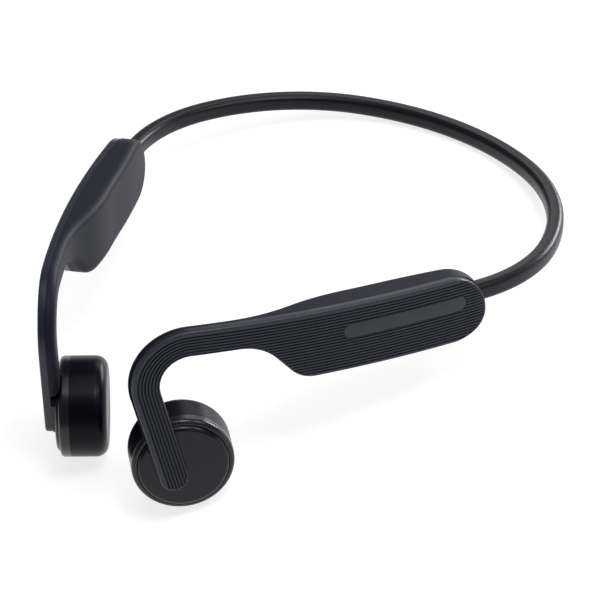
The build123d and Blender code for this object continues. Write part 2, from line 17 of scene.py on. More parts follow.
import bmesh
import bpy
from mathutils import Matrix, Vector

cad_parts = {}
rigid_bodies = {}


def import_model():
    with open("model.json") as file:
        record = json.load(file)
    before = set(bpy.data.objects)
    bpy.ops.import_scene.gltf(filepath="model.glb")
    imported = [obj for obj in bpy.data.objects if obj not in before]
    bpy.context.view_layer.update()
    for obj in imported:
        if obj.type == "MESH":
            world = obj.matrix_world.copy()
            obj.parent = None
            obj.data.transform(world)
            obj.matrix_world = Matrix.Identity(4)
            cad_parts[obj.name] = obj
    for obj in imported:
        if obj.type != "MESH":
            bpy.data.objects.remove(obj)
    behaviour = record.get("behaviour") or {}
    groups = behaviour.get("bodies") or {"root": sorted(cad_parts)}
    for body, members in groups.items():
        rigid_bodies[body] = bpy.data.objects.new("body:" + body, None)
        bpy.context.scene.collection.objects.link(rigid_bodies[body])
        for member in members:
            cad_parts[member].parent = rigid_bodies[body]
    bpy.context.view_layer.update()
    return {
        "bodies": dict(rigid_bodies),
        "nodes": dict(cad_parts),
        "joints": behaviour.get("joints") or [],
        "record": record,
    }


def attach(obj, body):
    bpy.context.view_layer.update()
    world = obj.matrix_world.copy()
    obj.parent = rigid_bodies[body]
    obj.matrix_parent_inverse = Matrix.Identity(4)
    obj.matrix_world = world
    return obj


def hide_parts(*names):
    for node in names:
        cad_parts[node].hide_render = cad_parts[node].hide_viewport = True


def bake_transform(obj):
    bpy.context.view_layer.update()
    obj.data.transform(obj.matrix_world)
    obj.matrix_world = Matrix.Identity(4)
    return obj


log = logging.getLogger("headphones")

MM = 0.001
# Marks groove floors, which are painted dark as shade and made rougher.
GROOVE = "groove"
# Marks the top rim, where the material paints a highlight in a lighter colour.
EDGE = "edge"
Plan = tuple[float, float]
Colour = tuple[float, float, float]


class Side(Enum):
    """A side of the wearer, with the sign of its X coordinates."""

    LEFT = 1
    RIGHT = -1

    @property
    def word(self) -> str:
        """The side's name as the frame's nodes begin with it."""
        return self.name.lower()

    @property
    def arm(self) -> str:
        """The body that the side's unit rides on."""
        return f"{self.word}_arm"


# ---- Places: the curves that the units and the band follow ----
@dataclass(frozen=True)
class OuterFace:
    """The upright arc, in plan, that the outer faces follow.

    Attributes:
        radius: The arc's radius.
        rear: Where the pod's rear end meets it, in plan.
        rear_heading: Its toe-in there, in degrees.
    """

    radius: float = 260.0
    rear: Plan = (58.9, -1.3)
    rear_heading: float = 19.7

    def heading(self, station: float) -> float:
        """The toe-in, in radians, at a distance forwards from the rear end."""
        return math.radians(self.rear_heading) + station / self.radius

    def forwards(self, station: float) -> Vector:
        """The direction along the face, towards the front."""
        angle = self.heading(station)
        return Vector((-math.sin(angle), -math.cos(angle), 0))

    def inwards(self, station: float) -> Vector:
        """The direction into the unit."""
        angle = self.heading(station)
        return Vector((-math.cos(angle), math.sin(angle), 0))

    def point(self, station: float, z: float, depth: float = 0.0) -> Vector:
        """A point of the left unit.

        Args:
            station: Distance forwards from the pod's rear end, along the face.
            z: Height above the middle of the band.
            depth: Distance behind the face.

        Returns:
            The point, in worn millimetres.
        """
        start = math.radians(self.rear_heading)
        across, along = self.radius * math.cos(start), self.radius * math.sin(start)
        centre = Vector((self.rear[0] - across, self.rear[1] + along, z))
        return centre - self.inwards(station) * (self.radius - depth)


@dataclass(frozen=True)
class SideView:
    """A unit's side view, and how it unrolls so that its top edge becomes one straight line.

    In the unrolled view x is the run along the top edge, which goes on round the bend and down the strip,
    and -y is the distance in from that edge.
    """

    top: float = 5.9
    bottom: float = -11.6
    rear_top_radius: float = 10.45
    rear_overhang: float = 0.6
    rear_bottom_reach: float = 8.3
    swell_front: float = 48.25
    swell_slope: float = 47.8
    swell_lower_radius: float = 8.2
    swell_upper_radius: float = 12.0
    arm_width: float = 6.7
    bend_start: float = 74.95
    bend_radius: float = 14.2
    bend_turn: float = 104.2
    strip_length: float = 23.9

    @property
    def bend_run(self) -> float:
        """Length of the bend's outer edge."""
        return self.bend_radius * math.radians(self.bend_turn)

    @property
    def tip_run(self) -> float:
        """Where the strip's straight edge ends, along the top edge."""
        return self.bend_start + self.bend_run + self.strip_length

    def roll(self, run: float, y: float) -> Plan:
        """Where a point of the unrolled view lies in the side view.

        Args:
            run: Distance along the top edge.
            y: Height over the top edge, so negative inside the outline.

        Returns:
            The station along the unit and the height z.
        """
        if run <= self.bend_start:
            return run, self.top + y
        angle = min((run - self.bend_start) / self.bend_radius, math.radians(self.bend_turn))
        beyond = run - self.bend_start - self.bend_radius * angle
        reach = self.bend_radius + y
        station = self.bend_start + reach * math.sin(angle) + beyond * math.cos(angle)
        return station, self.top - self.bend_radius + reach * math.cos(angle) - beyond * math.sin(angle)

    def outline(self) -> list[Vector]:
        """The unrolled outline, anticlockwise from the end of the rear arc."""
        rear = Vector((-self.rear_overhang, -self.rear_top_radius))
        pen = Pen(rear, Vector((0, 1)))
        pen.arc_to(Vector((self.rear_top_radius - self.rear_overhang, 0)))
        pen.line_to(Vector((self.tip_run, 0)))
        pen.arc_to(Vector((self.tip_run, -self.arm_width)))
        foot = self.bottom - self.top
        climb = (-self.arm_width - foot) / math.tan(math.radians(self.swell_slope))
        swell_head = Vector((self.swell_front + climb, -self.arm_width))
        swell_foot, rear_foot = Vector((self.swell_front, foot)), Vector((self.rear_bottom_reach, foot))
        pen.fillet(swell_head, swell_foot, self.swell_upper_radius)
        pen.fillet(swell_foot, rear_foot, self.swell_lower_radius)
        pen.line_to(rear_foot)
        pen.join(rear, Vector((0, 1)))
        return pen.points[:-1]


class Pen:
    """Draws an outline of straight runs and tangent arcs in a plane."""

    step = 0.4

    def __init__(self, start: Vector, heading: Vector) -> None:
        """Starts an outline.

        Args:
            start: Its first point.
            heading: The direction that it leaves in.
        """
        self.points = [start]
        self.heading = heading.normalized()

    def line_to(self, end: Vector) -> None:
        """Draws a straight run to a point."""
        self.heading = (end - self.points[-1]).normalized()
        self.points.append(end)

    def arc_to(self, end: Vector) -> None:
        """Draws the arc to a point that carries on from the last heading."""
        start = self.points[-1]
        chord = end - start
        left = Vector((-self.heading.y, self.heading.x))
        sweep = 2 * math.atan2(chord.dot(left), chord.dot(self.heading))
        radius = chord.length_squared / (2 * chord.dot(left))
        centre = start + left * radius
        count = max(3, math.ceil(abs(sweep * radius) / self.step))
        for index in range(1, count + 1):
            turn = Matrix.Rotation(sweep * index / count, 2)
            self.points.append(centre + turn @ (start - centre))
        self.heading = Matrix.Rotation(sweep, 2) @ self.heading

    def fillet(self, corner: Vector, beyond: Vector, radius: float) -> None:
        """Draws up to a rounded corner and round it.

        Args:
            corner: The sharp corner.
            beyond: A point on the run that leaves it.
            radius: Radius of the rounding.
        """
        arriving = (corner - self.points[-1]).normalized()
        leaving = (beyond - corner).normalized()
        setback = radius * math.tan(arriving.angle(leaving) / 2)
        self.line_to(corner - arriving * setback)
        self.arc_to(corner + leaving * setback)

    def join(self, end: Vector, arriving: Vector) -> None:
        """Draws two tangent arcs to a point, which arrive there in a given direction."""
        start, leaving = self.points[-1], self.heading
        span, both = end - start, leaving + arriving
        spread = 2 * (1 - leaving.dot(arriving))
        along = span.dot(both)
        pull = (math.sqrt(along**2 + spread * span.dot(span)) - along) / spread
        self.arc_to((start + leaving * pull + end - arriving * pull) / 2)
        self.arc_to(end)


@dataclass(frozen=True)
class Arc:
    """One arc of the band in plan, turning towards the middle of the neck."""

    radius: float
    turn: float


@dataclass(frozen=True)
class BandRoute:
    """Plan of the left half of the neckband, from inside the pod to the middle of the neck."""

    face: OuterFace = OuterFace()
    depth: float = 2.95
    z: float = -0.66
    insert: float = 6.0
    straight: float = 1.8
    side: Arc = Arc(37.8, 40.0)
    corner: Arc = Arc(51.8, 48.1)

    def start(self) -> Vector:
        """The centre of the band's end inside the pod."""
        return self.face.point(0, self.z, self.depth) + self.face.forwards(0) * self.insert

    def backwards(self) -> Vector:
        """The direction in which the band leaves the pod."""
        return -self.face.forwards(0)

    def legs(self) -> list[Arc]:
        """The arcs in order. The last one's radius brings the band square to the middle of the neck."""
        point, heading = self.start() + self.backwards() * (self.insert + self.straight), self.backwards()
        for arc in (self.side, self.corner):
            centre = self.centre(point, heading, arc.radius)
            turn = Matrix.Rotation(math.radians(arc.turn), 3, "Z")
            point, heading = centre + turn @ (point - centre), turn @ heading
        rest = 90 - (self.side.turn + self.corner.turn - self.face.rear_heading)
        return [self.side, self.corner, Arc(point.x / math.sin(math.radians(rest)), rest)]

    @staticmethod
    def centre(point: Vector, heading: Vector, radius: float) -> Vector:
        """Centre of an arc that turns left from a point and a heading."""
        return point + Vector((-heading.y, heading.x, 0)) * radius

    def along(self, distance: float) -> Vector:
        """The point at a distance along the route, measured from the end inside the pod."""
        point, heading = self.start(), self.backwards()
        stem = self.insert + self.straight
        point, distance = point + heading * min(distance, stem), distance - stem
        for arc in self.legs():
            if distance <= 0:
                break
            angle = min(distance / arc.radius, math.radians(arc.turn))
            centre = self.centre(point, heading, arc.radius)
            turn = Matrix.Rotation(angle, 3, "Z")
            point, heading = centre + turn @ (point - centre), turn @ heading
            distance -= arc.radius * angle
        return point


@dataclass(frozen=True)
class DiscPlace:
    """Where a transducer's axis lies: its cap's centre and its toe-in in plan."""

    face: OuterFace = OuterFace()
    station: float = 76.9
    depth: float = 2.0
    z: float = -32.5
    toe: float = 41.0
    thickness: float = 12.95

    def inwards(self) -> Vector:
        """Direction of the axis, towards the wearer."""
        return Vector((-math.cos(math.radians(self.toe)), math.sin(math.radians(self.toe)), 0))

    def matrix(self) -> Matrix:
        """Places a lathe-turned shape: its z axis runs inwards from the cap."""
        z_axis = self.inwards()
        x_axis = Vector((-math.sin(math.radians(self.toe)), -math.cos(math.radians(self.toe)), 0))
        turn = Matrix((x_axis, z_axis.cross(x_axis), z_axis)).transposed().to_4x4()
        return Matrix.Translation(self.face.point(self.station, self.z, self.depth)) @ turn


@dataclass(frozen=True)
class Stand:
    """How the product lies: turns worn millimetres into the frame's metres."""

    matrix: Matrix

    @classmethod
    def from_frame(cls, frame: dict[str, Any], disc: DiscPlace) -> Stand:
        """Finds the lean and the place from the frame.

        Args:
            disc: Where the transducer lies as worn.

        Returns:
            The stand.
        """
        flex = next(joint for joint in frame["joints"] if joint["name"] == "left_flex")
        face = next(mount for mount in frame["record"]["mounts"] if mount["name"] == "left_ear_face")
        _, sine, cosine = flex["axis"]
        turn = Matrix.Rotation(-math.atan2(sine, cosine), 4, "X") @ Matrix.Scale(MM, 4)
        worn = disc.matrix() @ Vector((0, 0, disc.thickness))
        return cls(Matrix.Translation(Vector(face["pos_m"]) - turn @ worn) @ turn)

    def sided(self, side: Side) -> Matrix:
        """The same for a shape drawn for the left and wanted on a side."""
        return self.matrix @ Matrix.Diagonal((side.value, 1, 1, 1))


# ---- Shader nodes ----
class Value:
    """A number that varies over a surface. Python's operators on it add Math nodes."""

    def __init__(self, graph: Graph, socket: bpy.types.NodeSocket) -> None:
        """Wraps a socket of a graph."""
        self.graph = graph
        self.socket = socket

    def _math(self, operation: str, *terms: Any) -> Value:
        """Adds a Math node for an operation on some terms."""
        made = self.graph.node("ShaderNodeMath", {"operation": operation}, dict(enumerate(terms)))
        return Value(self.graph, made[0])

    def __add__(self, other: Any) -> Value:
        """self + other."""
        return self._math("ADD", self, other)

    __radd__ = __add__

    def __sub__(self, other: Any) -> Value:
        """self - other."""
        return self._math("SUBTRACT", self, other)

    def __rsub__(self, other: Any) -> Value:
        """other - self."""
        return self._math("SUBTRACT", other, self)

    def __mul__(self, other: Any) -> Value:
        """self * other."""
        return self._math("MULTIPLY", self, other)

    __rmul__ = __mul__

    def clamped(self) -> Value:
        """self held between 0 and 1."""
        return self._math("MINIMUM", self._math("MAXIMUM", self, 0.0), 1.0)


class Graph:
    """The node tree of one material, or of the world."""

    def __init__(self, name: str, world: bpy.types.World | None = None) -> None:
        """Starts an empty tree.

        Args:
            name: The new material's name.
            world: The world whose tree is wanted in place of a new material's.
        """
        self.material = world or bpy.data.materials.new(name)
        self.material.use_nodes = True
        self.tree = self.material.node_tree
        self.tree.nodes.clear()

    def node(
        self, kind: str, settings: dict[str, Any] | None = None, inputs: dict[Any, Any] | None = None
    ) -> Any:
        """Adds a node.

        Args:
            kind: The node's type.
            settings: Properties of the node, which are set first.
            inputs: Values or links of its sockets, by name or number.

        Returns:
            The node's outputs.
        """
        made = self.tree.nodes.new(kind)
        for key, value in (settings or {}).items():
            setattr(made, key, value)
        for key, value in (inputs or {}).items():
            if isinstance(value, Value):
                self.tree.links.new(value.socket, made.inputs[key])
            elif isinstance(value, bpy.types.NodeSocket):
                self.tree.links.new(value, made.inputs[key])
            else:
                made.inputs[key].default_value = value
        return made.outputs

    def place(self) -> bpy.types.NodeSocket:
        """The place on the object, in metres."""
        return self.node("ShaderNodeTexCoord")["Object"]

    def noise(self, size: float, detail: float = 2.0, stretch: Vector | None = None) -> Value:
        """Smooth noise between 0 and 1.

        Args:
            size: Width of its patches, in millimetres.
            detail: Octaves of finer noise in it.
            stretch: How many times finer the patches are along each axis.

        Returns:
            The noise.
        """
        where = self.place()
        if stretch is not None:
            where = self.node("ShaderNodeMapping", None, {"Vector": where, "Scale": stretch})[0]
        inputs = {"Vector": where, "Scale": 1 / (size * MM), "Detail": detail}
        return Value(self, self.node("ShaderNodeTexNoise", None, inputs)["Fac"])

    def attribute(self, name: str) -> Value:
        """A number that the mesh carries under a name, or 0 where it carries none."""
        settings = {"attribute_type": "GEOMETRY", "attribute_name": name}
        return Value(self, self.node("ShaderNodeAttribute", settings)["Fac"])

    def mix(self, share: Value, first: Any, second: Any) -> bpy.types.NodeSocket:
        """A colour that goes from the first to the second as share goes from 0 to 1."""
        inputs = {0: share, 6: self.rgba(first), 7: self.rgba(second)}
        return self.node("ShaderNodeMix", {"data_type": "RGBA"}, inputs)[2]

    @staticmethod
    def rgba(colour: Any) -> Any:
        """A colour with the alpha that sockets want. A link stays as it is."""
        return (*colour, 1.0) if isinstance(colour, tuple) else colour

    def relief(self, height: Value, depth: float) -> bpy.types.NodeSocket:
        """A normal that follows a height from 0 to 1, over a depth in millimetres."""
        inputs = {"Strength": 1.0, "Distance": depth * MM, "Height": height}
        return self.node("ShaderNodeBump", None, inputs)[0]

    def surface(self, inputs: dict[str, Any]) -> bpy.types.Material:
        """Closes the material with a Principled shader.

        Args:
            inputs: The shader's sockets.

        Returns:
            The material.
        """
        shader = self.node("ShaderNodeBsdfPrincipled", None, inputs)
        self.node("ShaderNodeOutputMaterial", None, {"Surface": shader[0]})
        return self.material


# ---- Finishes ----
@dataclass(frozen=True)
class Moulded:
    """Moulded plastic or silicone with a fine eroded grain.

    Attributes:
        name: The material's name.
        colour: Its colour.
        shade: The colour that the first one drifts towards in broad soft patches.
        roughness: How satin it is.
        grain: Size of the grain, in millimetres.
        grain_depth: Depth of the grain, in millimetres.
        coat: Weight of a glossy skin.
        coat_roughness: Roughness of that skin.
        sheen: Weight of the soft sheen of silicone.
        specular: Level of its reflections.
        hollow: A painted shade: the dark colour painted on a groove's floor, where shade falls.
        worn: A painted highlight: the lighter colour painted along the top rim, where light catches the
            edge.
        drift_size: Size of the broad patches, in millimetres.
        flow_size: Size of the finer patches in them.
        drift_share: How much of the colour's drift the broad patches make.
        wear: How strongly the painted highlight shows on the rim at the least, and how much more the
            finer patches add.
        gloss_drift: How far roughness drifts over the broad patches, and over the grain.
        groove_roughness: How much rougher a groove's floor is.
    """

    name: str
    colour: Colour
    shade: Colour
    roughness: float
    grain: float = 0.14
    grain_depth: float = 0.006
    coat: float = 0.0
    coat_roughness: float = 0.1
    sheen: float = 0.0
    specular: float = 0.5
    # Painted shade colour for groove floors.
    hollow: Colour = (0.002, 0.002, 0.003)
    # Painted highlight colour for the top rim.
    worn: Colour = (0.085, 0.096, 0.122)
    drift_size: float = 14.0
    flow_size: float = 3.0
    drift_share: float = 0.7
    wear: tuple[float, float] = (0.55, 0.6)
    gloss_drift: tuple[float, float] = (0.1, 0.08)
    groove_roughness: float = 0.3

    def material(self) -> bpy.types.Material:
        """Makes the material."""
        graph = Graph(self.name)
        groove, edge = graph.attribute(GROOVE), graph.attribute(EDGE)
        drift = graph.noise(self.drift_size, 3.0)
        flow = graph.noise(self.flow_size, 4.0)
        grain = graph.noise(self.grain, 2.0)
        mottle = (drift * self.drift_share + flow * (1 - self.drift_share)).clamped()
        plain = graph.mix(mottle, self.colour, self.shade)
        # Painted highlight: the rim that the mesh marks is coloured lighter, more in some patches, as if
        # light caught it.
        least, more = self.wear
        wear = (edge * (flow * more + least)).clamped()
        broad, fine = self.gloss_drift
        unevenness = (drift - 0.5) * broad + (grain - 0.5) * fine
        # Groove floors are painted dark as shade, and are rougher too.
        inputs = {
            "Base Color": graph.mix(groove, graph.mix(wear, plain, self.worn), self.hollow),
            "Roughness": unevenness + groove * self.groove_roughness + self.roughness,
            "Normal": graph.relief(grain, self.grain_depth),
            "Specular IOR Level": self.specular,
            "Coat Weight": self.coat,
            "Coat Roughness": self.coat_roughness,
            "Sheen Weight": self.sheen,
            "Sheen Roughness": 0.5,
        }
        return graph.surface(inputs)


@dataclass(frozen=True)
class Metal:
    """Drawn, stamped or foil metal with streaks along one direction.

    Attributes:
        name: The material's name.
        colour: Its colour.
        shade: Its colour in the streaks.
        roughness: Its least roughness.
        streaks: How many times finer the streaks are along each axis.
        streak_size: Their size, in millimetres.
        tarnish_size: Size of the tarnished patches, in millimetres.
        streak_share: How much of the change in colour the streaks make.
        streak_roughness: How much rougher the streaks are.
        streak_depth: Their depth, in millimetres.
    """

    name: str
    colour: Colour
    shade: Colour
    roughness: float
    streaks: Colour = (1.0, 1.0, 12.0)
    streak_size: float = 1.2
    tarnish_size: float = 5.0
    streak_share: float = 0.6
    streak_roughness: float = 0.16
    streak_depth: float = 0.01

    def material(self) -> bpy.types.Material:
        """Makes the material."""
        graph = Graph(self.name)
        streaks = graph.noise(self.streak_size, 4.0, Vector(self.streaks))
        tarnish = graph.noise(self.tarnish_size, 3.0)
        blend = (streaks * self.streak_share + tarnish * (1 - self.streak_share)).clamped()
        inputs = {
            "Base Color": graph.mix(blend, self.colour, self.shade),
            "Metallic": 1.0,
            "Roughness": streaks * self.streak_roughness + self.roughness,
            "Normal": graph.relief(streaks, self.streak_depth),
        }
        return graph.surface(inputs)


@dataclass(frozen=True)
class Windings:
    """Enamelled copper wire, wound in fine turns round the transducer's axis.

    Attributes:
        name: The material's name.
        axis: Direction of the transducer's axis.
        pitch: Distance from one turn to the next, in millimetres.
        wave_scale: Scale of the texture at which one band is one unit wide.
        between: Colour between the turns.
        copper: Colour of the turns.
        roughness: Roughness between the turns.
        polish: How much smoother the turns are.
        turn_depth: Depth between the turns, in millimetres.
    """

    name: str = "copper_winding"
    axis: tuple[float, float, float] = (0.75, -0.65, 0.0)
    pitch: float = 0.18
    wave_scale: float = 0.31
    between: Colour = (0.30, 0.11, 0.04)
    copper: Colour = (0.78, 0.34, 0.15)
    roughness: float = 0.42
    polish: float = 0.14
    turn_depth: float = 0.05

    def material(self) -> bpy.types.Material:
        """Makes the material."""
        graph = Graph(self.name)
        settings = {"wave_type": "BANDS", "bands_direction": "X"}
        placing = {"Vector": graph.place(), "Rotation": (0, 0, self.turn())}
        turned = graph.node("ShaderNodeMapping", None, placing)[0]
        scale = self.wave_scale / (self.pitch * MM)
        inputs = {"Vector": turned, "Scale": scale, "Distortion": 0.4, "Detail": 1.0}
        turns = Value(graph, graph.node("ShaderNodeTexWave", settings, inputs)["Fac"])
        surface = {
            "Base Color": graph.mix(turns, self.between, self.copper),
            "Metallic": 1.0,
            "Roughness": self.roughness - turns * self.polish,
            "Normal": graph.relief(turns, self.turn_depth),
        }
        return graph.surface(surface)

    def turn(self) -> float:
        """The turn about Z that brings the axis onto X."""
        return -math.atan2(self.axis[1], self.axis[0])


@dataclass(frozen=True)
class Board:
    """Solder mask over copper tracks.

    Attributes:
        name: The material's name.
        mask: Colour of the mask on the bare board.
        track: Its colour over a track.
        cell_size: Size of the fields between tracks, in millimetres.
        track_width: Half the width of a track, as a share of a field.
        crispness: How sharply a track's edge shows.
        weave_size: Size of the board's weave, in millimetres.
        track_share: How much of the change in colour the tracks make.
        track_height: Height of a track, in millimetres.
    """

    name: str = "circuit_board_mask"
    mask: Colour = (0.008, 0.07, 0.035)
    track: Colour = (0.03, 0.16, 0.07)
    cell_size: float = 1.1
    track_width: float = 0.05
    crispness: float = 14.0
    weave_size: float = 0.5
    track_share: float = 0.8
    track_height: float = 0.03

    def material(self) -> bpy.types.Material:
        """Makes the material."""
        graph = Graph(self.name)
        settings = {"feature": "DISTANCE_TO_EDGE"}
        inputs = {"Vector": graph.place(), "Scale": 1 / (self.cell_size * MM)}
        cells = graph.node("ShaderNodeTexVoronoi", settings, inputs)
        away = Value(graph, cells["Distance"]) - self.track_width
        tracks = 1 - (away * self.crispness).clamped()
        weave = graph.noise(self.weave_size, 3.0)
        blend = (tracks * self.track_share + weave * (1 - self.track_share)).clamped()
        surface = {
            "Base Color": graph.mix(blend, self.mask, self.track),
            "Roughness": 0.3 + weave * 0.15,
            "Normal": graph.relief(tracks, self.track_height),
            "Coat Weight": 0.4,
        }
        return graph.surface(surface)


CASING = Moulded(
    "casing_satin_plastic", (0.018, 0.023, 0.043), (0.014, 0.018, 0.035), 0.34, specular=0.4
)
HOUSING = Moulded(
    "housing_satin_plastic", (0.014, 0.014, 0.029), (0.011, 0.011, 0.024), 0.52, specular=0.15
)
PANEL = Moulded(
    "panel_smooth_plastic",
    (0.024, 0.029, 0.048),
    (0.020, 0.025, 0.042),
    0.34,
    grain=0.3,
    grain_depth=0.002,
    specular=0.4,
)
BAND = Moulded(
    "band_silicone", (0.008, 0.006, 0.012), (0.010, 0.008, 0.015), 0.34, grain=0.1, specular=0.28
)
DISC = Moulded("disc_satin_plastic", (0.003, 0.002, 0.010), (0.002, 0.001, 0.007), 0.26, specular=0.32)
SHELL = Moulded("shell_satin_plastic", (0.005, 0.004, 0.010), (0.004, 0.003, 0.008), 0.24, specular=0.45)
PAD = Moulded(
    "pad_glossy_silicone",
    (0.002, 0.001, 0.005),
    (0.003, 0.002, 0.007),
    0.32,
    grain=0.5,
    grain_depth=0.001,
    specular=0.12,
)
BUTTON = Moulded("button_satin_plastic", (0.011, 0.012, 0.018), (0.009, 0.010, 0.015), 0.34, specular=0.4)
SEAL = Moulded("seal_silicone", (0.008, 0.008, 0.011), (0.006, 0.006, 0.008), 0.6, sheen=0.05)
CABLE = Moulded("cable_jacket", (0.020, 0.020, 0.022), (0.030, 0.029, 0.031), 0.55)
CLAMP = Moulded("clamp_nylon", (0.045, 0.045, 0.050), (0.035, 0.035, 0.040), 0.5)
CHIP = Moulded("chip_resin", (0.020, 0.020, 0.020), (0.030, 0.030, 0.030), 0.45, grain=0.08)
CERAMIC = Moulded("antenna_ceramic", (0.75, 0.74, 0.70), (0.66, 0.66, 0.64), 0.45)
LIGHT = Moulded("light_guide", (0.62, 0.66, 0.68), (0.55, 0.58, 0.60), 0.25, coat=0.5)
STEEL = Metal("stamped_steel", (0.60, 0.60, 0.62), (0.48, 0.48, 0.50), 0.28)
WIRE = Metal("spring_wire", (0.55, 0.54, 0.52), (0.42, 0.41, 0.40), 0.25)
FOIL = Metal("battery_foil", (0.66, 0.67, 0.70), (0.55, 0.56, 0.60), 0.34, (3.0, 3.0, 3.0), 2.5)

SLOT_FINISHES: dict[str, Any] = {
    "casing": CASING,
    "band": BAND,
    "disc": DISC,
    "pad": PAD,
    "button": BUTTON,
    "seal": SEAL,
    "cable": CABLE,
    "clamp": CLAMP,
    "chip": CHIP,
    "ceramic": CERAMIC,
    "light": LIGHT,
    "steel": STEEL,
    "wire": WIRE,
    "battery": FOIL,
    "board": Board(),
    "copper": Windings(),
}

# Nodes that look different from the rest of their slot.
NODE_FINISHES: dict[str, Any] = {
    f"{side.word}_{name}": finish
    for side in Side
    for name, finish in (("inner_housing", HOUSING), ("transducer_shell", SHELL))
}


# ---- Making pieces ----
@dataclass
class Workbench:
    """Turns meshes drawn in worn millimetres into finished pieces of the frame.

    Attributes:
        stand: How the product lies.
        smooth_angle: Edges that turn by more than this, in degrees, stay sharp.
        materials: Finished materials by name.
    """

    stand: Stand
    smooth_angle: float = 38.0
    materials: dict[str, bpy.types.Material] = field(default_factory=dict)

    def material(self, finish: Any) -> bpy.types.Material:
        """The material of a finish, made once."""
        if finish.name not in self.materials:
            self.materials[finish.name] = finish.material()
        return self.materials[finish.name]

    def piece(
        self, shape: bmesh.types.BMesh, name: str, side: Side, finish: Any
    ) -> bpy.types.Object:
        """Makes an object of a mesh that was drawn for the left side.

        Args:
            shape: The mesh, in worn millimetres. It is used up.
            name: The piece's name.
            side: The side that it is wanted on.
            finish: What it is made of.

        Returns:
            The object, at the origin, with its place in its mesh.
        """
        bmesh.ops.transform(shape, matrix=self.stand.sided(side), verts=shape.verts)
        if side is Side.RIGHT:
            bmesh.ops.reverse_faces(shape, faces=shape.faces)
        mesh = bpy.data.meshes.new(name)
        shape.to_mesh(mesh)
        shape.free()
        mesh.materials.append(self.material(finish))
        mesh.shade_smooth()
        mesh.set_sharp_from_angle(angle=math.radians(self.smooth_angle))
        made = bpy.data.objects.new(name, mesh)
        bpy.context.scene.collection.objects.link(made)
        log.info("%s: %d faces", name, len(mesh.polygons))
        return made


def cut_rows(shape: bmesh.types.BMesh, axis: int, places: Iterable[float]) -> None:
    """Cuts every face that crosses one of some parallel planes.

    Args:
        shape: The mesh.
        axis: 0, 1 or 2 for planes across X, Y or Z.
        places: Where the planes stand on that axis.
    """
    normal = Vector((0, 0, 0))
    normal[axis] = 1
    for place in places:
        geometry = [*shape.verts, *shape.edges, *shape.faces]
        bmesh.ops.bisect_plane(shape, geom=geometry, dist=1e-4, plane_co=normal * place, plane_no=normal)


def slab(outline: list[Vector], near: float, far: float, rim: float) -> bmesh.types.BMesh:
    """A flat slab with a rounded rim on its near face, drawn in the XY plane with Z as depth.

    Args:
        outline: Its outline.
        near: Depth of the near face.
        far: Depth of the far face.
        rim: Radius of the rounding.

    Returns:
        A closed mesh.
    """
    shape = bmesh.new()
    face = shape.faces.new([shape.verts.new((point.x, point.y, near + rim)) for point in outline])
    wall = bmesh.ops.extrude_edge_only(shape, edges=face.edges[:])["geom"]
    for vert in (item for item in wall if isinstance(item, bmesh.types.BMVert)):
        vert.co.z = far
    back = [item for item in wall if isinstance(item, bmesh.types.BMEdge) and item.is_boundary]
    bmesh.ops.holes_fill(shape, edges=back, sides=0)
    steps = 4
    inset = 0.0
    for step in range(1, steps + 1):
        angle = math.radians(90) * step / steps
        reach = rim * (1 - math.cos(angle))
        bmesh.ops.inset_region(shape, faces=[face], thickness=reach - inset, use_even_offset=True)
        inset = reach
        for vert in face.verts:
            vert.co.z = near + rim * (1 - math.sin(angle))
    bmesh.ops.recalc_face_normals(shape, faces=shape.faces)
    return shape


def carved(body: bmesh.types.BMesh, cutter: bmesh.types.BMesh) -> bmesh.types.BMesh:
    """Takes one closed mesh away from another. Both are used up.

    Args:
        body: What stays.
        cutter: What is taken away.

    Returns:
        The carved mesh.
    """
    objects = []
    for shape in (body, cutter):
        mesh = bpy.data.meshes.new("carving")
        shape.to_mesh(mesh)
        shape.free()
        objects.append(bpy.data.objects.new("carving", mesh))
        bpy.context.scene.collection.objects.link(objects[-1])
    kept, taken = objects
    difference = kept.modifiers.new("difference", "BOOLEAN")
    difference.operation = "DIFFERENCE"
    difference.solver = "EXACT"
    difference.object = taken
    result = bmesh.new()
    result.from_object(kept, bpy.context.evaluated_depsgraph_get())
    for used in objects:
        bpy.data.meshes.remove(used.data)
    return result


